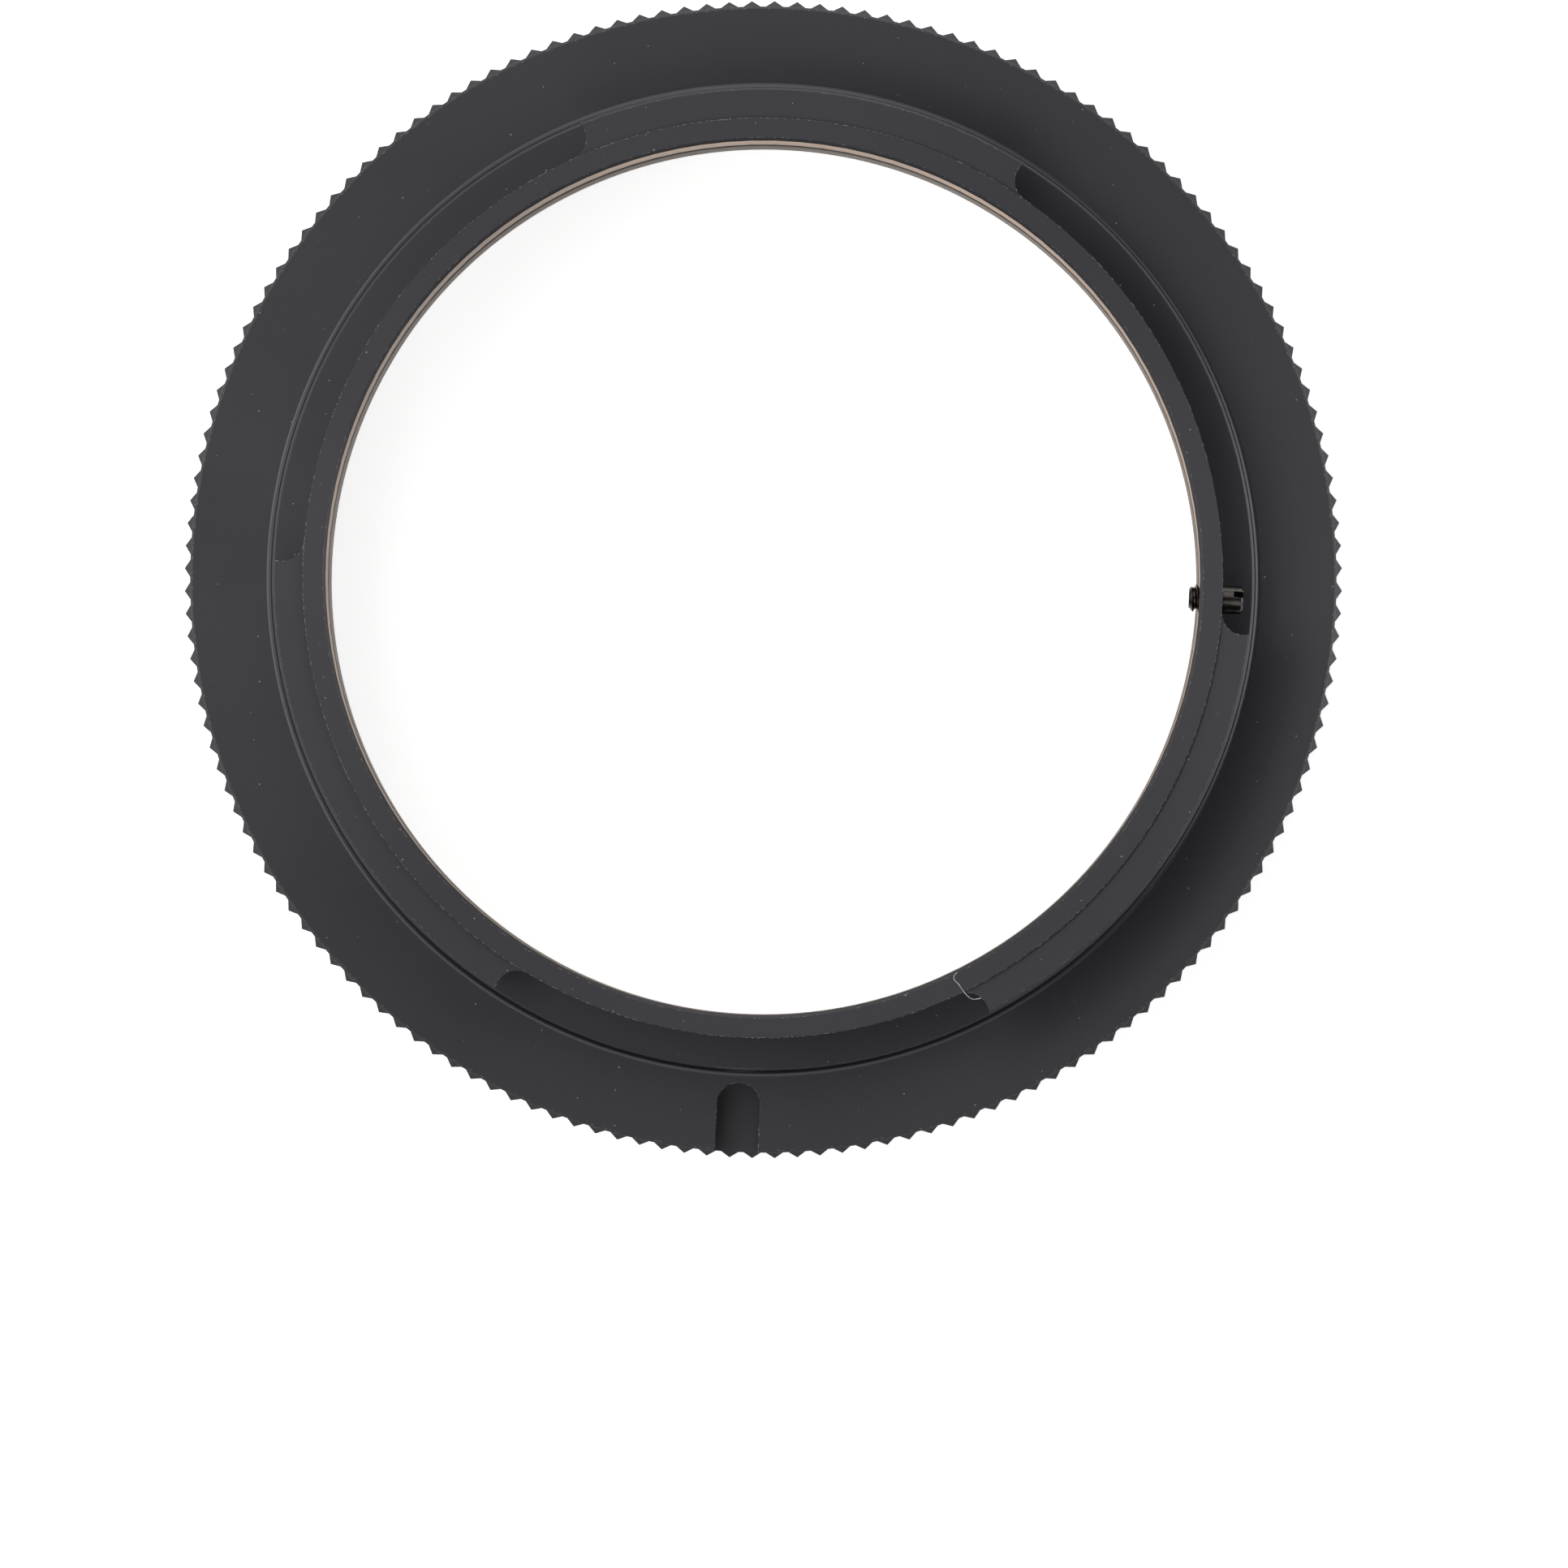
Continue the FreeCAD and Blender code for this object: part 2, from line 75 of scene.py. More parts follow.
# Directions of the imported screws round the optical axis, in degrees from +X towards +Y
SCREW_ANGLES = {"set_screw_1": 87.3, "set_screw_2": 207.3, "set_screw_3": 327.3, STOP: 357.4}

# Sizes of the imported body, in millimetres: radius of the centring shoulder, height of the flange face,
# and a radius just past the bore's wall
SHOULDER = 23.3
FLANGE = 8.5
BORE = 20.7

# Index of refraction of the dyed oxide on aluminium
OXIDE_IOR = 1.6

# Fibres of lint, as points in millimetres: one lies over the tube's end by a lug, one on the flange
LINT = {
    "long_lint_fibre": (
        (9.17, -18.67, 13.495), (9.03, -18.81, 13.495), (9.03, -19.02, 13.495), (9.24, -19.18, 13.495),
        (9.45, -19.52, 13.495), (9.74, -19.85, 13.46), (9.99, -19.96, 13.40), (10.32, -19.87, 13.36)),
    "short_lint_fibre": (
        (21.75, -7.35, 9.42), (21.83, -7.58, 9.44), (22.02, -7.68, 9.42)),
}

# Soft boxes: direction round the adapter and height over the floor in degrees, width and height in metres,
# and brightness next to white paper
SOFT_BOXES = {
    "soft_box_left": (180, 57, 0.45, 0.25, 3.5),
    "soft_box_high_left": (180, 72, 0.45, 0.25, 1.6),
    "soft_box_upper_left": (135, 57, 0.45, 0.25, 1.4),
    "soft_box_top": (90, 50, 0.45, 0.50, 1.45),
    "soft_box_front": (270, 60, 0.45, 0.45, 1.4),
    "soft_box_right": (5, 34, 0.40, 0.20, 1.5),
    "low_box_right": (3, 12, 0.40, 0.20, 3.6),
    "low_box_left": (172, 12, 0.40, 0.20, 1.6),
    "strip_top": (90, 6, 0.45, 0.03, 12.0),
}


def linear(code):
    """Turn an sRGB hex value into linear red, green and blue."""
    channels = [int(code[i:i + 2], 16) / 255 for i in (0, 2, 4)]
    return tuple(c / 12.92 if c <= 0.04045 else ((c + 0.055) / 1.055) ** 2.4 for c in channels)


def opaque(colour):
    """Add full opacity to a colour for a shader's socket."""
    return (*colour, 1.0)


# Sizes and colours that a user would change

class AdapterShapes(bpy.types.PropertyGroup):
    """Screw threads, slots and the fillet, which the solids leave out."""

    lens_pitch: FloatProperty(
        name="Lens thread pitch", description="Rise of the lens thread in one turn",
        default=0.75 * MM, unit="LENGTH", precision=5)
    set_screw_pitch: FloatProperty(
        name="Set screw pitch", description="Rise of a set screw's thread in one turn",
        default=0.4 * MM, unit="LENGTH", precision=5)
    stop_screw_pitch: FloatProperty(
        name="Stop screw pitch", description="Rise of the stop screw's thread in one turn",
        default=0.3 * MM, unit="LENGTH", precision=5)
    slot_width: FloatProperty(
        name="Slot width", description="Width of the screwdriver slots",
        default=0.3 * MM, unit="LENGTH", precision=5)
    slot_depth: FloatProperty(
        name="Slot depth", description="Depth of the screwdriver slots",
        default=0.45 * MM, unit="LENGTH", precision=5)
    set_screw_tip: FloatProperty(
        name="Set screw tip", description="Radius of a set screw's flat tip",
        default=0.12 * MM, unit="LENGTH", precision=5)
    stop_screw_tip: FloatProperty(
        name="Stop screw tip", description="Radius of the stop screw's flat tip",
        default=0.46 * MM, unit="LENGTH", precision=5)
    stop_thread_length: FloatProperty(
        name="Stop screw thread",
        description="Length of the stop screw's thread, from its tip to the tube's outside",
        default=1.6 * MM, unit="LENGTH", precision=5)
    stop_slot_turn: FloatProperty(
        name="Stop screw turn", description="How far the stop screw's slot is turned from upright",
        default=math.radians(-23), subtype="ANGLE")
    shoulder_fillet: FloatProperty(
        name="Fillet", description="Radius of the fillet at the foot of the shoulder",
        default=0.28 * MM, unit="LENGTH", precision=6)
    fillet_columns: IntProperty(
        name="Fillet columns", description="Steps round the fillet", default=360, min=24)
    ring_columns: IntProperty(
        name="Ring columns", description="Steps round the thread ring", default=240, min=24)
    screw_columns: IntProperty(
        name="Screw columns", description="Steps round a screw", default=48, min=12)


class AdapterColours(bpy.types.PropertyGroup):
    """Colours of the finishes."""

    body_dye: FloatVectorProperty(
        name="Body", description="Dyed oxide of the bayonet body", subtype="COLOR",
        default=linear("1a1922"), min=0, max=1)
    body_edge: FloatVectorProperty(
        name="Worn edge", description="Oxide rubbed thin along the edges", subtype="COLOR",
        default=linear("6e6c68"), min=0, max=1)
    bore_dye: FloatVectorProperty(
        name="Bore", description="Brownish cast of the dye inside the bore", subtype="COLOR",
        default=linear("3a332e"), min=0, max=1)
    bore_cast: FloatVectorProperty(
        name="Bore's cast", description="Tan cast of the bore where light grazes it", subtype="COLOR",
        default=linear("cca98a"), min=0, max=1)
    ring_dye: FloatVectorProperty(
        name="Thread ring", description="Dyed oxide of the thread ring", subtype="COLOR",
        default=linear("2b2927"), min=0, max=1)
    black_steel: FloatVectorProperty(
        name="Blackened steel", description="Black oxide of the set screws", subtype="COLOR",
        default=linear("2e2d2f"), min=0, max=1)
    bare_steel: FloatVectorProperty(
        name="Bare steel", description="Steel of the stop screw", subtype="COLOR",
        default=linear("4a4745"), min=0, max=1)
    bare_metal: FloatVectorProperty(
        name="Bare metal", description="Burrs where the oxide has gone", subtype="COLOR",
        default=linear("c4c3c0"), min=0, max=1)
    # Painted reflection: pale paint on the thread's crests stands in for the tan light that grazes them
    crest_painted_reflection: FloatVectorProperty(
        name="Thread's crests", description="Crests of the lens thread, rubbed pale by lenses",
        subtype="COLOR", default=linear("a4988e"), min=0, max=1)
    dust: FloatVectorProperty(
        name="Dust", description="Dust specks", subtype="COLOR", default=linear("7e7f7e"), min=0, max=1)
    lint: FloatVectorProperty(
        name="Lint", description="Fibres of lint", subtype="COLOR", default=linear("c9cbc9"), min=0, max=1)


class AdapterWear(bpy.types.PropertyGroup):
    """Rubbed edges, dust and lint."""

    edge_width: FloatProperty(
        name="Edge", description="Width of the rubbed band along an edge",
        default=0.045 * MM, unit="LENGTH", precision=6)
    dust_spacing: FloatProperty(
        name="Dust spacing", description="Width of the cells that hold one speck each",
        default=1.7 * MM, unit="LENGTH", precision=5)
    dust_share: FloatProperty(
        name="Dust share", description="Share of the cells that have a speck", default=0.6, min=0, max=1)
    dust_size: FloatProperty(
        name="Dust size", description="Width of the largest speck",
        default=0.08 * MM, unit="LENGTH", precision=6)
    lint_radius: FloatProperty(
        name="Lint", description="Radius of a fibre", default=0.02 * MM, unit="LENGTH", precision=6)


class AdapterStudio(bpy.types.PropertyGroup):
    """Camera, lamps, dark cards and floor."""

    distance: FloatProperty(
        name="Distance", description="From the camera to the tube's end", default=1.45, unit="LENGTH")
    view_width: FloatProperty(
        name="View width", description="Width of the view at the tube's end",
        default=74.13 * MM, unit="LENGTH", precision=5)
    aim: FloatVectorProperty(
        name="Aim", description="Point of the tube's end in the middle of the view", size=2,
        default=(1.0 * MM, -9.75 * MM), subtype="TRANSLATION", unit="LENGTH")
    stand: FloatVectorProperty(
        name="Stand", description="Point that the camera stands over", size=2,
        default=(5.8 * MM, -22.8 * MM), subtype="TRANSLATION", unit="LENGTH")
    fill: FloatProperty(
        name="Fill", description="Strength of the light from all round on matt surfaces", default=0.4, min=0)
    box_distance: FloatProperty(
        name="Soft box distance", description="From the adapter to each soft box", default=0.7, unit="LENGTH")
    box_brightness: FloatProperty(
        name="Soft boxes", description="Brightness of all the soft boxes", default=1.0, min=0)
    ceiling_width: FloatProperty(
        name="Ceiling card", description="Width of the dark card overhead", default=2.86, unit="LENGTH")
    ceiling_height: FloatProperty(
        name="Ceiling height", description="Height of the dark card overhead", default=1.2, unit="LENGTH")
    front_size: FloatVectorProperty(
        name="Front card", description="Width and height of the dark card in front", size=2,
        default=(0.9, 0.25), subtype="TRANSLATION", unit="LENGTH")
    front_distance: FloatProperty(
        name="Front distance", description="From the adapter's middle to the dark card in front",
        default=0.35, unit="LENGTH")
    floor_glow: FloatProperty(
        name="Floor glow", description="White that the floor shows on top of its light", default=0.8, min=0)
    floor_width: FloatProperty(
        name="Floor", description="Width of the floor", default=4.0, unit="LENGTH")
    floor_colour: FloatVectorProperty(
        name="Floor colour", description="Plain pale floor", subtype="COLOR",
        default=linear("f4f4f4"), min=0, max=1)


# Shared tools

def add_node(tree, kind, settings=None, links=None, **properties):
    """Add one node with its properties, its sockets' values and the links into it."""
    node = tree.nodes.new(kind)
    for name, value in properties.items():
        setattr(node, name, value)
    for name, value in (settings or {}).items():
        node.inputs[name].default_value = value
    for name, socket in (links or {}).items():
        tree.links.new(socket, node.inputs[name])
    return node


def new_material(name):
    """Start an empty material and return it with its node tree and the socket for its surface."""
    material = bpy.data.materials.new(name)
    material.use_nodes = True
    tree = material.node_tree
    tree.nodes.clear()
    output = add_node(tree, "ShaderNodeOutputMaterial")
    return material, tree, output.inputs["Surface"]


def place(tree):
    """Where a point lies on the object, in millimetres."""
    coordinates = add_node(tree, "ShaderNodeTexCoord")
    scaled = add_node(tree, "ShaderNodeVectorMath", {1: (1 / MM,) * 3},
                      {0: coordinates.outputs["Object"]}, operation="MULTIPLY")
    return scaled.outputs["Vector"]


def mesh_piece(name, points, faces, material, sharp=math.radians(30)):
    """Make a mesh object, joined where points meet, smooth but for its sharp edges."""
    mesh = bpy.data.meshes.new(name)
    mesh.from_pydata(points, [], faces)
    work = bmesh.new()
    work.from_mesh(mesh)
    bmesh.ops.remove_doubles(work, verts=work.verts, dist=0.001 * MM)
    bmesh.ops.recalc_face_normals(work, faces=work.faces)
    work.to_mesh(mesh)
    work.free()
    mesh.shade_smooth()
    mesh.set_sharp_from_angle(angle=sharp)
    mesh.materials.append(material)
    piece = bpy.data.objects.new(name, mesh)
    bpy.context.scene.collection.objects.link(piece)
    return piece


def thread_levels(flat, groove, steps=3):
    """Places and depths, as shares, through one turn of a thread, from the start of its crest."""
    flank = (1 - flat - groove) / 2
    falling = [(flat + flank * i / steps, i / steps) for i in range(steps + 1)]
    rising = [(flat + flank + groove + flank * i / steps, 1 - i / steps) for i in range(steps)]
    return [(0.0, 0.0)] + falling + rising


def thread_depth(levels, share):
    """Depth of the thread, as a share, at a share of its turn."""
    share %= 1.0
    closed = levels + [(1.0, 0.0)]
    for (start, low), (end, high) in zip(closed, closed[1:]):
        if start <= share <= end:
            return low + (high - low) * (share - start) / max(end - start, 1e-9)
    return 0.0


def thread_wall(length, pitch, levels, columns, radius_at):
    """Columns of points up a threaded wall round Z, and the quads between them.

    The points follow the helix and stop at both ends. radius_at gives a radius from a height and a depth.
    The last column meets the first one a turn further on.
    """
    turns = math.ceil(length / pitch) + 1
    rows = [turn + share for turn in range(turns) for share, _ in levels]
    walls = []
    for column in range(columns):
        turned = column / columns
        heights = [min(max((row + turned - 1) * pitch, 0.0), length) for row in rows]
        walls.append([
            Matrix.Rotation(math.tau * turned, 3, "Z")
            @ Vector((radius_at(z, thread_depth(levels, z / pitch - turned)), 0, z)) for z in heights])
    quads = []
    for column in range(columns):
        on = len(levels) if column == columns - 1 else 0
        for row in range(len(rows) - 1 - on):
            here = (column, row)
            there = ((column + 1) % columns, row + on)
            quads.append((here, (here[0], row + 1), (there[0], there[1] + 1), there))
    return walls, quads


def lathe_points(profile, columns):
    """Columns of points made by turning a profile of radii and heights round Z."""
    return [[Matrix.Rotation(math.tau * column / columns, 3, "Z") @ Vector((radius, 0, height))
             for radius, height in profile] for column in range(columns)]


def lathe_faces(columns, span, rows):
    """Quads between neighbouring columns of points, each span points long, along a chain of their rows."""
    faces = []
    for column in range(columns):
        here = column * span
        there = (column + 1) % columns * span
        for first, second in zip(rows, rows[1:]):
            faces.append((here + first, here + second, there + second, there + first))
    return faces


# Finishes

def micro_relief(tree, where, grain, height, normal=None):
    """Bump of fine dents: grain is their width and height their depth, in millimetres."""
    dents = add_node(tree, "ShaderNodeTexNoise", {"Scale": 1 / grain, "Detail": 2.0, "Roughness": 0.55},
                     {"Vector": where})
    bump = add_node(tree, "ShaderNodeBump", {"Distance": height * MM}, {"Height": dents.outputs["Fac"]})
    if normal:
        tree.links.new(normal, bump.inputs["Normal"])
    return bump.outputs["Normal"]


def patches(tree, where, width, low, high, soft=0.1):
    """A mask of soft patches: noise of a given width in millimetres, cut between two levels."""
    noise = add_node(tree, "ShaderNodeTexNoise", {"Scale": 1 / width, "Detail": 3.0}, {"Vector": where})
    mask = add_node(tree, "ShaderNodeMapRange", {"From Min": low, "From Max": high + soft},
                    {"Value": noise.outputs["Fac"]}, interpolation_type="SMOOTHSTEP")
    return mask.outputs["Result"]


def soft_edges(tree, width):
    """A normal that rounds every edge over a width in millimetres, and a mask of where it does so."""
    rounded = add_node(tree, "ShaderNodeBevel", {"Radius": width * MM}, samples=6)
    true = add_node(tree, "ShaderNodeNewGeometry")
    alike = add_node(tree, "ShaderNodeVectorMath", None,
                     {0: rounded.outputs["Normal"], 1: true.outputs["Normal"]}, operation="DOT_PRODUCT")
    mask = add_node(tree, "ShaderNodeMapRange", {"From Min": 0.995, "From Max": 0.8},
                    {"Value": alike.outputs["Value"]})
    return rounded.outputs["Normal"], mask.outputs["Result"]


def dust_specks(tree, where, spacing, size, share):
    """A mask of round specks on faces that look up. Spacing and largest size are in millimetres."""
    cells = add_node(tree, "ShaderNodeTexVoronoi", {"Scale": 1 / spacing}, {"Vector": where},
                     voronoi_dimensions="2D")
    draw = add_node(tree, "ShaderNodeSeparateColor", None, {"Color": cells.outputs["Color"]})
    radius = add_node(tree, "ShaderNodeMapRange", {"From Min": 1 - share, "To Max": size / spacing / 2},
                      {"Value": draw.outputs["Red"]})
    speck = add_node(tree, "ShaderNodeMath", None,
                     {0: cells.outputs["Distance"], 1: radius.outputs["Result"]}, operation="LESS_THAN")
    face = add_node(tree, "ShaderNodeNewGeometry")
    up = add_node(tree, "ShaderNodeSeparateXYZ", None, {"Vector": face.outputs["Normal"]})
    level = add_node(tree, "ShaderNodeMath", {1: 0.9}, {0: up.outputs["Z"]}, operation="GREATER_THAN")
    return times(tree, speck.outputs["Value"], level.outputs["Value"])


def blend_colours(tree, factor, first, second):
    """Mix two colours, each a value or a socket, by a mask."""
    mix = add_node(tree, "ShaderNodeMix", None, {"Factor": factor}, data_type="RGBA")
    for socket, colour in ((mix.inputs[6], first), (mix.inputs[7], second)):
        if isinstance(colour, tuple):
            socket.default_value = opaque(colour)
        else:
            tree.links.new(colour, socket)
    return mix.outputs[2]


def times(tree, first, second):
    """Multiply two masks."""
    product = add_node(tree, "ShaderNodeMath", None, {0: first}, operation="MULTIPLY")
    if isinstance(second, float):
        product.inputs[1].default_value = second
    else:
        tree.links.new(second, product.inputs[1])
    return product.outputs["Value"]


def inside_radius(tree, where, radius, soft=0.02):
    """A mask that is 1 nearer to the optical axis than a radius in millimetres."""
    flat = add_node(tree, "ShaderNodeVectorMath", {1: (1, 1, 0)}, {0: where}, operation="MULTIPLY")
    length = add_node(tree, "ShaderNodeVectorMath", None, {0: flat.outputs["Vector"]}, operation="LENGTH")
    mask = add_node(tree, "ShaderNodeMapRange", {"From Min": radius + soft, "From Max": radius - soft},
                    {"Value": length.outputs["Value"]})
    return mask.outputs["Result"]


def between_radii(tree, where, inner, outer):
    """A mask of a ring round the optical axis, with its radii in millimetres."""
    ring = add_node(tree, "ShaderNodeMath", None, {
        0: inside_radius(tree, where, outer), 1: inside_radius(tree, where, inner)}, operation="SUBTRACT")
    return ring.outputs["Value"]


def turned_bore(tree, where, colours):
    """The bore's turned wall: little gloss, and a tan cast that shows where light grazes it."""
    marks = add_node(tree, "ShaderNodeTexNoise", {"Scale": 1 / 0.25, "Detail": 2.0}, {"Vector": where})
    rough = add_node(tree, "ShaderNodeMapRange", {"To Min": 0.3, "To Max": 0.38},
                     {"Value": marks.outputs["Fac"]})
    shader = add_node(
        tree, "ShaderNodeBsdfPrincipled",
        {"Base Color": opaque(colours.bore_dye), "IOR": OXIDE_IOR, "Specular IOR Level": 0.15,
         "Sheen Weight": 1.0, "Sheen Roughness": 0.3, "Sheen Tint": opaque(colours.bore_cast)},
        {"Roughness": rough.outputs["Result"]})
    return shader.outputs["BSDF"]


def bead_blasted_anodised_aluminium(colours, wear):
    """Aluminium, turned, lightly bead blasted, then anodised and dyed black.

    The blasting gives an even satin face with fine dents. The turning under it still draws the gloss out
    across its rings, so the faces shine most towards the side lights. The dyed oxide is near black with a
    violet cast. It is rubbed thin along the edges, with a few bare burrs, and dust lies on the upper faces.
    """
    material, tree, surface = new_material("bead_blasted_anodised_aluminium")
    where = place(tree)
    rounded, edges = soft_edges(tree, wear.edge_width / MM)
    # Real dents are about 0.05 mm wide; they are drawn at 0.16 mm, as coarse as they need to show
    relief = micro_relief(tree, where, grain=0.16, height=0.003, normal=rounded)
    clouds = patches(tree, where, width=7.0, low=0.35, high=0.6)
    # The shoulder's narrow edge break and fillet would count as rubbed all over, so they are left out
    reached = add_node(tree, "ShaderNodeMath", {0: 1.0},
                       {1: between_radii(tree, where, SHOULDER - 0.2, SHOULDER + 0.45)}, operation="SUBTRACT")
    edges = times(tree, edges, reached.outputs["Value"])
    rubbed = times(tree, times(tree, edges, patches(tree, where, width=0.5, low=0.42, high=0.62)), 0.35)
    burrs = times(tree, edges, patches(tree, where, width=0.16, low=0.56, high=0.56, soft=0.04))
    dust = dust_specks(tree, where, wear.dust_spacing / MM, wear.dust_size / MM, wear.dust_share)
    colour = blend_colours(tree, clouds, tuple(0.88 * c for c in colours.body_dye), tuple(colours.body_dye))
    for mask, over in ((rubbed, colours.body_edge), (burrs, colours.bare_metal), (dust, colours.dust)):
        colour = blend_colours(tree, mask, colour, tuple(over))
    rough = add_node(tree, "ShaderNodeMapRange", {"To Min": 0.52, "To Max": 0.58}, {"Value": clouds})
    lay = add_node(tree, "ShaderNodeTangent", direction_type="RADIAL", axis="Z")
    blasted = add_node(
        tree, "ShaderNodeBsdfPrincipled",
        {"IOR": OXIDE_IOR, "Anisotropic": 0.65, "Anisotropic Rotation": 0.25},
        {"Base Color": colour, "Roughness": rough.outputs["Result"], "Normal": relief,
         "Tangent": lay.outputs["Tangent"]})
    # The shoulder that centres the adapter is turned to size after the blasting, so it is smoother
    shoulder = between_radii(tree, where, SHOULDER - 0.1, SHOULDER + 0.32)
    turned = add_node(
        tree, "ShaderNodeBsdfPrincipled", {"IOR": OXIDE_IOR, "Roughness": 0.36},
        {"Base Color": colour, "Normal": micro_relief(tree, where, grain=0.16, height=0.002)})
    outside = add_node(tree, "ShaderNodeMixShader", None, {
        0: shoulder, 1: blasted.outputs["BSDF"], 2: turned.outputs["BSDF"]})
    whole = add_node(tree, "ShaderNodeMixShader", None, {
        0: inside_radius(tree, where, BORE), 1: outside.outputs["Shader"],
        2: turned_bore(tree, where, colours)})
    tree.links.new(whole.outputs["Shader"], surface)
    return material


def turned_anodised_aluminium(colours, crest):
    """Aluminium, turned, then anodised and dyed black.

    The tool leaves fine rings round the axis, which break the gloss into thin arcs. The thread's crests,
    at a radius in millimetres, are painted pale: a painted reflection for the tan light that grazes them.
    """
    material, tree, surface = new_material("turned_anodised_aluminium")
    where = place(tree)
    # Distance between the feed marks of a finishing cut, in millimetres
    feed = 0.12
    rings = add_node(
        tree, "ShaderNodeTexWave", {"Scale": 1 / feed / math.tau * 2, "Distortion": 0.6, "Detail": 2.0},
        {"Vector": where}, wave_type="RINGS", rings_direction="Z")
    bump = add_node(tree, "ShaderNodeBump", {"Strength": 0.6, "Distance": 0.003 * MM},
                    {"Height": rings.outputs["Fac"], "Normal": micro_relief(tree, where, 0.1, 0.002)})
    clouds = patches(tree, where, width=4.0, low=0.35, high=0.6)
    dyed = blend_colours(tree, clouds, tuple(0.85 * c for c in colours.ring_dye), tuple(colours.ring_dye))
    # Painted reflection: the crests, seen only at a graze, are painted pale in place of the tan light that
    # grazes them
    crests = inside_radius(tree, where, crest + 0.05)
    dyed = blend_colours(tree, crests, dyed, tuple(colours.crest_painted_reflection))
    worn = times(tree, soft_edges(tree, width=0.04)[1], 0.5)
    shader = add_node(
        tree, "ShaderNodeBsdfPrincipled", {"IOR": OXIDE_IOR, "Roughness": 0.42},
        {"Base Color": blend_colours(tree, worn, dyed, tuple(colours.body_edge)),
         "Normal": bump.outputs["Normal"]})
    tree.links.new(shader.outputs["BSDF"], surface)
    return material


def steel(name, colour, roughness, mottle):
    """Steel screw stock, cut on a small lathe: fine marks, a little uneven in tone."""
    material, tree, surface = new_material(name)
    where = place(tree)
    clouds = patches(tree, where, width=0.35, low=0.35, high=0.6)
    tone = blend_colours(tree, clouds, tuple(mottle * c for c in colour), tuple(colour))
    shader = add_node(
        tree, "ShaderNodeBsdfPrincipled", {"Metallic": 1.0, "Roughness": roughness},
        {"Base Color": tone, "Normal": micro_relief(tree, where, 0.06, 0.003)})
    tree.links.new(shader.outputs["BSDF"], surface)
    return material


def cotton_lint(colours):
    """Cotton lint: pale, matt and a little uneven along the fibre."""
    material, tree, surface = new_material("cotton_lint")
    clouds = patches(tree, place(tree), width=0.2, low=0.3, high=0.6)
    tone = blend_colours(tree, clouds, tuple(0.5 * c for c in colours.lint), tuple(colours.lint))
    shader = add_node(
        tree, "ShaderNodeBsdfPrincipled", {"Roughness": 0.9, "Sheen Weight": 0.3}, {"Base Color": tone})
    tree.links.new(shader.outputs["BSDF"], surface)
    return material


def give(node, material):
    """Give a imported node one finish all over."""
    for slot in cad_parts[node].material_slots:
        slot.material = material


# Pieces

def node_points(node):
    """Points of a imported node."""
    return [Vector(vertex.co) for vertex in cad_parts[node].data.vertices]


class ADAPTER_OT_finish_body(bpy.types.Operator):
    """Give the bayonet body its blasted and anodised finish"""

    bl_idname = "adapter.finish_body"
    bl_label = "Finish Body"

    def execute(self, context):
        scene = context.scene
        give(BODY, bead_blasted_anodised_aluminium(scene.adapter_colours, scene.adapter_wear))
        return {"FINISHED"}


class ADAPTER_OT_round_shoulder_root(bpy.types.Operator):
    """Add the concave fillet between the centring shoulder and the flange face"""

    bl_idname = "adapter.round_shoulder_root"
    bl_label = "Round Shoulder Root"

    def execute(self, context):
        shapes = context.scene.adapter_shapes
        columns = shapes.fillet_columns
        size = shapes.shoulder_fillet
        wall = SHOULDER * MM
        face = FLANGE * MM
        # How far the piece's hidden corner reaches into the body
        bite = 0.02 * MM
        steps = 10
        arc = [math.radians(90 * step / steps) for step in range(steps + 1)]
        profile = [(wall + size * (1 - math.sin(turn)), face + size * (1 - math.cos(turn))) for turn in arc]
        profile.append((wall - bite, face - bite))
        points = [point for column in lathe_points(profile, columns) for point in column]
        faces = lathe_faces(columns, len(profile), [*range(len(profile)), 0])
        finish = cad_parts[BODY].material_slots[0].material
        piece = mesh_piece("shoulder_fillet", points, faces, finish)
        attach(piece, "adapter")
        return {"FINISHED"}


class ADAPTER_OT_cut_lens_thread(bpy.types.Operator):
    """Make the thread ring with the turns of its lens thread"""

    bl_idname = "adapter.cut_lens_thread"
    bl_label = "Cut Lens Thread"

    def execute(self, context):
        shapes = context.scene.adapter_shapes
        colours = context.scene.adapter_colours
        columns = shapes.ring_columns
        pitch = shapes.lens_pitch
        low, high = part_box(RING)
        height = high.z - low.z
        outside = high.x
        crest = min(point.xy.length for point in node_points(RING))
        levels = thread_levels(flat=1 / 4, groove=1 / 8)
        # Depth of a standard inner thread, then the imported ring's own chamfers and groove
        depth = 0.541 * pitch
        chamfer = 0.5 * MM
        groove = 0.7 * MM
        edge = 0.2 * MM

        def radius_at(z, share):
            return crest + max(share * depth, chamfer - z, chamfer - (height - z))

        walls, quads = thread_wall(height, pitch, levels, columns, radius_at)
        outer = lathe_points([
            (outside - edge, height), (outside, height - edge), (outside, height / 2 + groove),
            (outside - groove, height / 2), (outside, height / 2 - groove), (outside, edge),
            (outside - edge, 0)], columns)
        rows = len(walls[0])
        span = rows + len(outer[0])
        points = [point for wall, back in zip(walls, outer) for point in wall + back]
        faces = [[column * span + row for column, row in quad] for quad in quads]
        faces += lathe_faces(columns, span, [rows - 1, *range(rows, span), 0])
        piece = mesh_piece("threaded_ring", points, faces, turned_anodised_aluminium(colours, crest / MM))
        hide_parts(RING)
        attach(piece, "thread_ring")
        return {"FINISHED"}


def radial_stance(node):
    """Direction, inner end, outer end, height and radius of a screw that points away from the axis."""
    points = node_points(node)
    low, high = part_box(node)
    turn = math.radians(SCREW_ANGLES[node])
    out = Vector((math.cos(turn), math.sin(turn), 0))
    reach = [point.dot(out) for point in points]
    return out, min(reach), max(reach), (low.z + high.z) / 2, (high.z - low.z) / 2


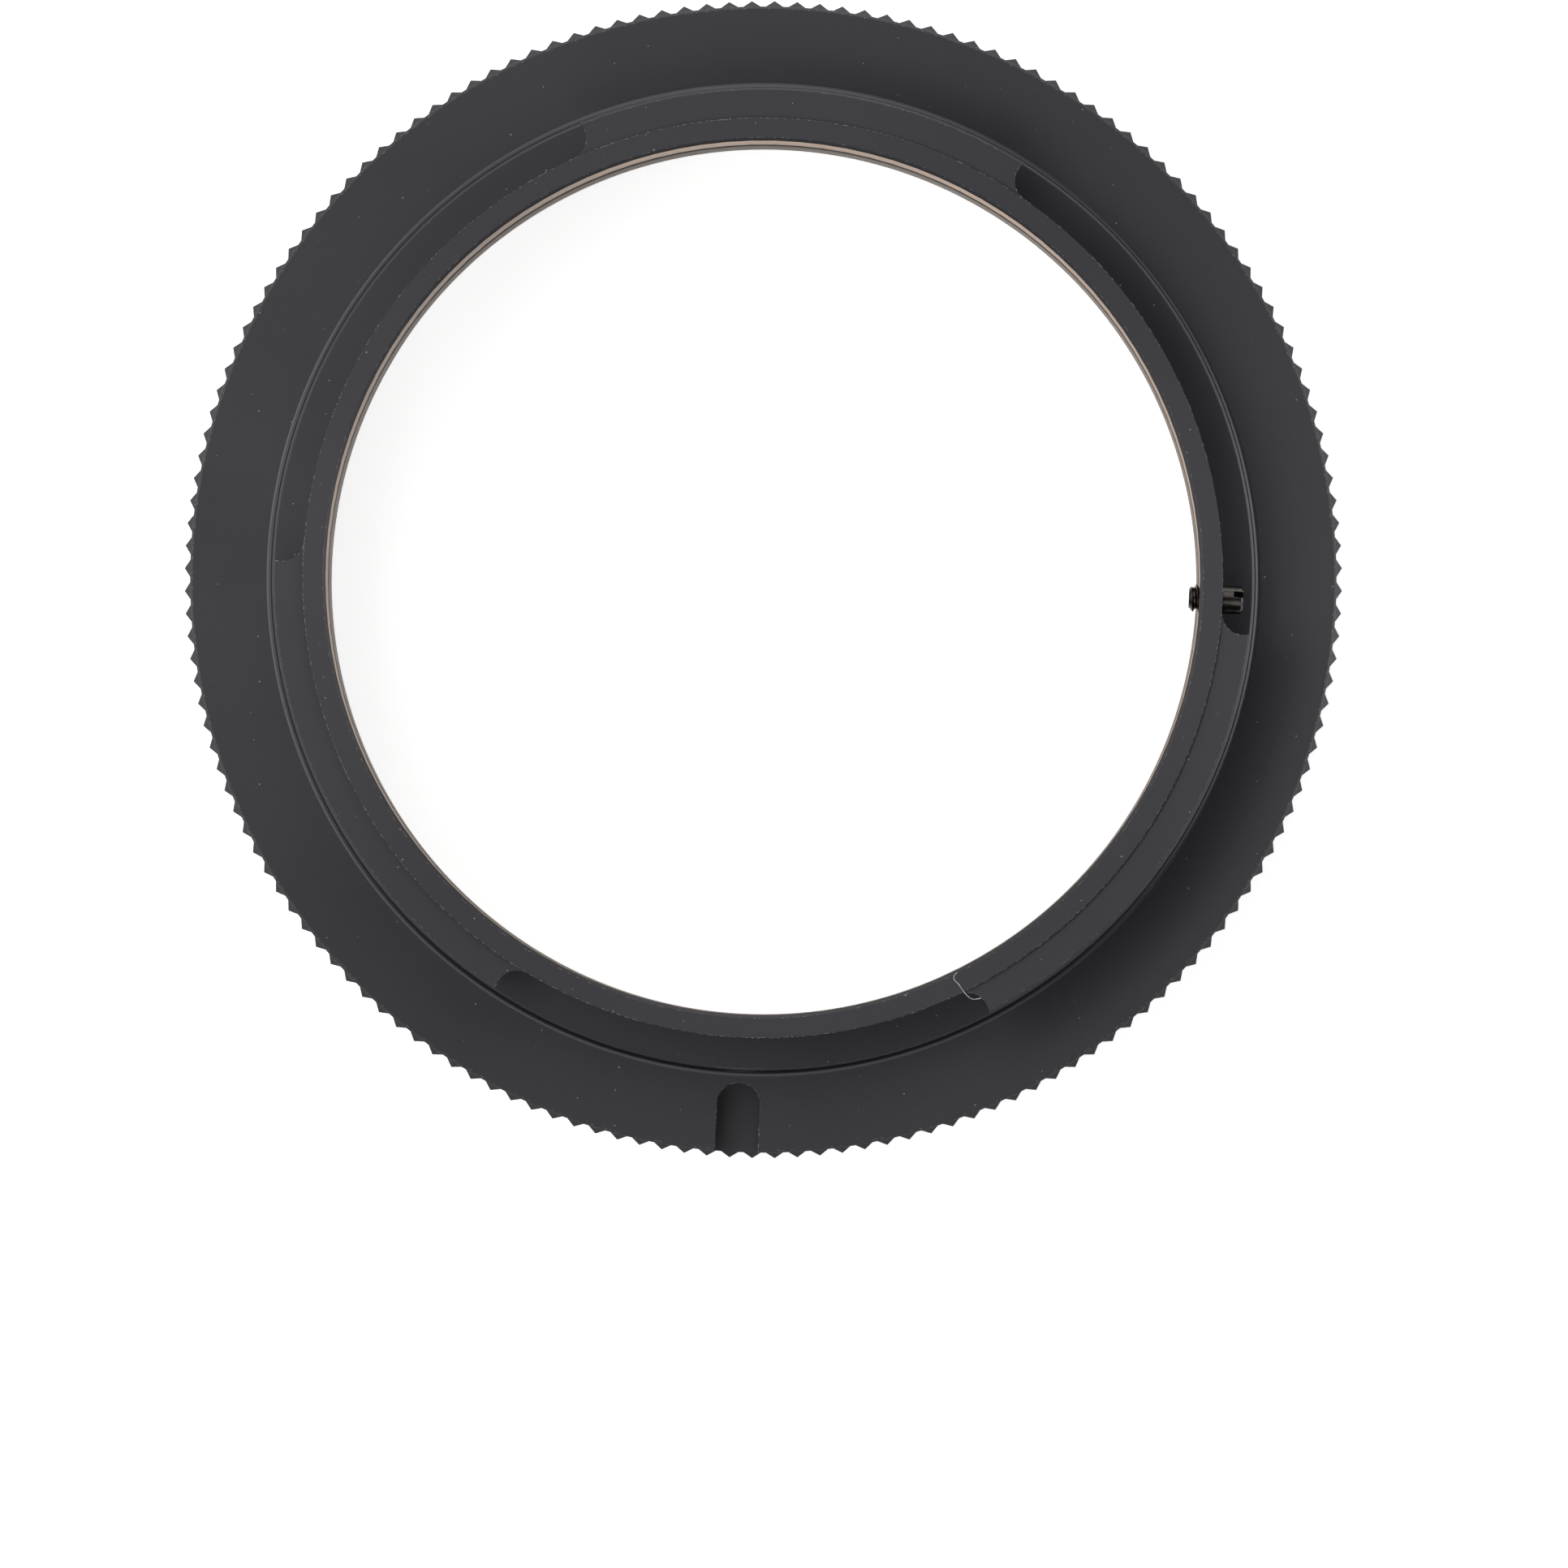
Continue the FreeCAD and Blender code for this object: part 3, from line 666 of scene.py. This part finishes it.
def threaded_screw(node, shapes, pitch, tip_radius, turn, material, thread_length=math.inf):
    """A headless slotted screw where a packed one stands, with its tip towards the optical axis.

    The tip slopes at 45 degrees down to tip_radius. The thread fades out at thread_length from the tip.
    """
    out, inner, outer, height, radius = radial_stance(node)
    columns = shapes.screw_columns
    length = outer - inner
    # Depth of the thread and width of the chamfer round the slotted end
    depth = 0.55 * pitch
    edge = 0.1 * MM
    levels = thread_levels(flat=1 / 8, groove=1 / 4, steps=2)

    def radius_at(z, share):
        cut = depth * min(max((thread_length - z) / pitch, 0), 1)
        return min(radius - share * cut, tip_radius + z, radius - edge + (length - z))

    walls, quads = thread_wall(length, pitch, levels, columns, radius_at)
    rows = len(walls[0])
    points = [point for wall in walls for point in wall] + [Vector((0, 0, 0)), Vector((0, 0, length))]
    faces = [[column * rows + row for column, row in quad] for quad in quads]
    for column in range(columns):
        here = column * rows
        there = (column + 1) % columns * rows
        faces.append((here, there, len(points) - 2))
        faces.append((there + rows - 1, here + rows - 1, len(points) - 1))
    across = Vector((0, 0, 1)).cross(out)
    stance = Matrix((across, Vector((0, 0, 1)), out)).transposed().to_4x4()
    stance.translation = out * inner + Vector((0, 0, height))
    stance = stance @ Matrix.Rotation(turn, 4, "Z")
    piece = mesh_piece(f"threaded_{node}", points, faces, material)
    cut_slot(piece, length, radius, shapes.slot_width, shapes.slot_depth)
    piece.data.transform(stance)
    return piece


def cut_slot(piece, length, radius, width, depth):
    """Cut a screwdriver slot across the upper end of a screw that stands on Z."""
    mesh = bpy.data.meshes.new("slot_cutter")
    work = bmesh.new()
    bmesh.ops.create_cube(work, size=1.0)
    bmesh.ops.scale(work, vec=(width, 3 * radius, 2 * depth), verts=work.verts)
    bmesh.ops.translate(work, vec=(0, 0, length), verts=work.verts)
    work.to_mesh(mesh)
    work.free()
    cutter = bpy.data.objects.new("slot_cutter", mesh)
    bpy.context.scene.collection.objects.link(cutter)
    boolean = piece.modifiers.new("slot", "BOOLEAN")
    boolean.operation = "DIFFERENCE"
    boolean.object = cutter
    boolean.solver = "EXACT"
    bpy.context.view_layer.update()
    cut = bpy.data.meshes.new_from_object(piece.evaluated_get(bpy.context.evaluated_depsgraph_get()))
    piece.modifiers.clear()
    old = piece.data
    piece.data = cut
    bpy.data.meshes.remove(old)
    bpy.data.objects.remove(cutter)
    bpy.data.meshes.remove(mesh)
    cut.set_sharp_from_angle(angle=math.radians(30))


class ADAPTER_OT_fit_set_screws(bpy.types.Operator):
    """Make the three set screws with their threads, cones and slots"""

    bl_idname = "adapter.fit_set_screws"
    bl_label = "Fit Set Screws"

    def execute(self, context):
        shapes = context.scene.adapter_shapes
        colours = context.scene.adapter_colours
        finish = steel("blackened_steel_screw", colours.black_steel, roughness=0.4, mottle=0.7)
        for number, (node, body) in enumerate(SET_SCREWS.items()):
            # The slots stop at unlike turns, as screws do
            turn = math.radians(35 + 47 * number)
            piece = threaded_screw(node, shapes, shapes.set_screw_pitch, shapes.set_screw_tip, turn, finish)
            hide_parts(node)
            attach(piece, body)
        return {"FINISHED"}


class ADAPTER_OT_fit_stop_screw(bpy.types.Operator):
    """Make the stop screw with its thread, blunt tip and turned slot"""

    bl_idname = "adapter.fit_stop_screw"
    bl_label = "Fit Stop Screw"

    def execute(self, context):
        shapes = context.scene.adapter_shapes
        colours = context.scene.adapter_colours
        finish = steel("bare_turned_steel", colours.bare_steel, roughness=0.27, mottle=0.7)
        piece = threaded_screw(
            STOP, shapes, shapes.stop_screw_pitch, shapes.stop_screw_tip, shapes.stop_slot_turn, finish,
            thread_length=shapes.stop_thread_length)
        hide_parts(STOP)
        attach(piece, "adapter")
        return {"FINISHED"}


class ADAPTER_OT_lay_lint(bpy.types.Operator):
    """Lay the fibres of lint on the camera side"""

    bl_idname = "adapter.lay_lint"
    bl_label = "Lay Lint"

    def execute(self, context):
        finish = cotton_lint(context.scene.adapter_colours)
        for name, points in LINT.items():
            line = bpy.data.curves.new(name, "CURVE")
            line.dimensions = "3D"
            line.bevel_depth = context.scene.adapter_wear.lint_radius
            line.use_fill_caps = True
            spline = line.splines.new("NURBS")
            spline.points.add(len(points) - 1)
            for point, at in zip(spline.points, points):
                point.co = (*(MM * Vector(at)), 1.0)
            spline.order_u = 3
            spline.use_endpoint_u = True
            drawn = bpy.data.objects.new("drawn_fibre", line)
            mesh = bpy.data.meshes.new_from_object(drawn)
            mesh.name = name
            mesh.materials.clear()
            mesh.materials.append(finish)
            mesh.shade_smooth()
            piece = bpy.data.objects.new(name, mesh)
            context.scene.collection.objects.link(piece)
            bpy.data.objects.remove(drawn)
            bpy.data.curves.remove(line)
            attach(piece, "adapter")
        return {"FINISHED"}


# Studio

def soft_box(name, azimuth, elevation, width, height, brightness, studio):
    """A soft box that faces the adapter and that the camera doesn't see."""
    data = bpy.data.lights.new(name, "AREA")
    data.shape = "RECTANGLE"
    data.size = width
    data.size_y = height
    data.energy = math.pi * width * height * brightness * studio.box_brightness
    lamp = bpy.data.objects.new(name, data)
    flat, rise = math.radians(azimuth), math.radians(elevation)
    out = Vector((math.cos(rise) * math.cos(flat), math.cos(rise) * math.sin(flat), math.sin(rise)))
    lamp.location = studio.box_distance * out + Vector((0, 0, CAD_BOX[1][2]))
    lamp.rotation_euler = out.to_track_quat("Z", "Y").to_euler()
    lamp.visible_camera = False
    bpy.context.scene.collection.objects.link(lamp)


def sheet(name, low, high, material):
    """A flat rectangle between two opposite corners, with two of its sides along X."""
    points = [low, (high[0], low[1], low[2]), high, (low[0], high[1], high[2])]
    return mesh_piece(name, points, [(0, 1, 2, 3)], material)


def dark_card(name, low, high, material):
    """A dark card that keeps light off the adapter and that the camera doesn't see."""
    card = sheet(name, low, high, material)
    card.visible_camera = False


def black_felt():
    """Black felt: matt, with a little fluff."""
    material, tree, surface = new_material("black_felt")
    fluff = patches(tree, place(tree), width=4.0, low=0.3, high=0.7)
    matt = add_node(tree, "ShaderNodeBsdfDiffuse", None,
                    {"Color": blend_colours(tree, fluff, linear("2c2c2c"), linear("333333"))})
    tree.links.new(matt.outputs["BSDF"], surface)
    return material


def seen_white(tree):
    """1 for rays that show the background: those of the camera, of gloss and of glass."""
    path = add_node(tree, "ShaderNodeLightPath")
    first = add_node(tree, "ShaderNodeMath", None, {
        0: path.outputs["Is Camera Ray"], 1: path.outputs["Is Glossy Ray"]}, operation="MAXIMUM")
    both = add_node(tree, "ShaderNodeMath", None, {
        0: first.outputs["Value"], 1: path.outputs["Is Transmission Ray"]}, operation="MAXIMUM")
    return both.outputs["Value"]


def studio_floor(studio):
    """Plain pale floor: white where it is lit, darker in the object's shadow, and see-through from below."""
    material, tree, surface = new_material("matt_white_board")
    tone = tuple(studio.floor_colour)
    speckle = patches(tree, place(tree), width=30.0, low=0.2, high=0.8)
    matt = add_node(tree, "ShaderNodeBsdfDiffuse", None,
                    {"Color": blend_colours(tree, speckle, tuple(0.99 * c for c in tone), tone)})
    glow = add_node(tree, "ShaderNodeEmission", {"Color": opaque(tone), "Strength": studio.floor_glow})
    shown = add_node(tree, "ShaderNodeMixShader", None, {0: seen_white(tree)})
    add = add_node(tree, "ShaderNodeAddShader", None, {0: matt.outputs["BSDF"], 1: glow.outputs["Emission"]})
    tree.links.new(matt.outputs["BSDF"], shown.inputs[1])
    tree.links.new(add.outputs["Shader"], shown.inputs[2])
    side = add_node(tree, "ShaderNodeNewGeometry")
    clear = add_node(tree, "ShaderNodeBsdfTransparent")
    whole = add_node(tree, "ShaderNodeMixShader", None, {0: side.outputs["Backfacing"]})
    tree.links.new(shown.outputs["Shader"], whole.inputs[1])
    tree.links.new(clear.outputs["BSDF"], whole.inputs[2])
    tree.links.new(whole.outputs["Shader"], surface)
    return material


def studio_world(studio):
    """Soft light from all round, with a white background."""
    world = bpy.data.worlds.new("soft_white_studio")
    world.use_nodes = True
    tree = world.node_tree
    tree.nodes.clear()
    strength = add_node(tree, "ShaderNodeMix", {2: studio.fill, 3: 1.0}, {"Factor": seen_white(tree)})
    soft = add_node(tree, "ShaderNodeBackground", {"Color": (1, 1, 1, 1)}, {"Strength": strength.outputs[0]})
    add_node(tree, "ShaderNodeOutputWorld", None, {"Surface": soft.outputs["Background"]})
    bpy.context.scene.world = world


def aim_camera(studio, top):
    """Camera high over the adapter, at the photograph's angle, with the image's up along +Y."""
    data = bpy.data.cameras.new("camera")
    data.sensor_width = 36.0
    data.lens = data.sensor_width * studio.distance / studio.view_width
    data.clip_end = 10.0
    camera = bpy.data.objects.new("camera", data)
    target = Vector((*studio.aim, top))
    camera.location = Vector((*studio.stand, top + studio.distance))
    back = (camera.location - target).normalized()
    right = Vector((0, 1, 0)).cross(back).normalized()
    camera.rotation_euler = Matrix((right, back.cross(right), back)).transposed().to_euler()
    bpy.context.scene.collection.objects.link(camera)
    bpy.context.scene.camera = camera


class ADAPTER_OT_build_studio(bpy.types.Operator):
    """Set up the floor, the lamps and the camera"""

    bl_idname = "adapter.build_studio"
    bl_label = "Build Studio"

    def execute(self, context):
        studio = context.scene.adapter_studio
        scene = context.scene
        scene.view_settings.view_transform = "Standard"
        half = studio.floor_width / 2
        floor = sheet("floor", (-half, -half, 0), (half, half, 0), studio_floor(studio))
        floor.location.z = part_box(BODY)[0].z
        studio_world(studio)
        for name, box in SOFT_BOXES.items():
            soft_box(name, *box, studio)
        felt = black_felt()
        half = studio.ceiling_width / 2
        height = studio.ceiling_height
        dark_card("ceiling_card", (-half, -half, height), (half, half, height), felt)
        half = studio.front_size[0] / 2
        near = -studio.front_distance
        dark_card("front_card", (-half, near, 0), (half, near, studio.front_size[1]), felt)
        aim_camera(studio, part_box(BODY)[1].z)
        return {"FINISHED"}


class ADAPTER_PT_looks(bpy.types.Panel):
    """The adapter's pieces and studio, in the 3D view's sidebar"""

    bl_label = "Lens Adapter"
    bl_idname = "ADAPTER_PT_looks"
    bl_space_type = "VIEW_3D"
    bl_region_type = "UI"
    bl_category = "Adapter"

    def draw(self, context):
        for group in GROUPS:
            settings = getattr(context.scene, group)
            box = self.layout.box()
            for name in settings.bl_rna.properties.keys():
                if name not in {"rna_type", "name"}:
                    box.prop(settings, name)
        for operator in OPERATORS:
            self.layout.operator(operator.bl_idname)


OPERATORS = (
    ADAPTER_OT_finish_body,
    ADAPTER_OT_round_shoulder_root,
    ADAPTER_OT_cut_lens_thread,
    ADAPTER_OT_fit_set_screws,
    ADAPTER_OT_fit_stop_screw,
    ADAPTER_OT_lay_lint,
    ADAPTER_OT_build_studio,
)
GROUPS = {
    "adapter_shapes": AdapterShapes,
    "adapter_colours": AdapterColours,
    "adapter_wear": AdapterWear,
    "adapter_studio": AdapterStudio,
}


def register():
    for name, group in GROUPS.items():
        bpy.utils.register_class(group)
        setattr(bpy.types.Scene, name, PointerProperty(type=group))
    for item in (*OPERATORS, ADAPTER_PT_looks):
        bpy.utils.register_class(item)


def unregister():
    for item in (ADAPTER_PT_looks, *reversed(OPERATORS)):
        bpy.utils.unregister_class(item)
    for name, group in GROUPS.items():
        delattr(bpy.types.Scene, name)
        bpy.utils.unregister_class(group)


def main():
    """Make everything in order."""
    register()
    for operator in OPERATORS:
        space, name = operator.bl_idname.split(".")
        getattr(getattr(bpy.ops, space), name)()


if __name__ == "__main__":
    main()
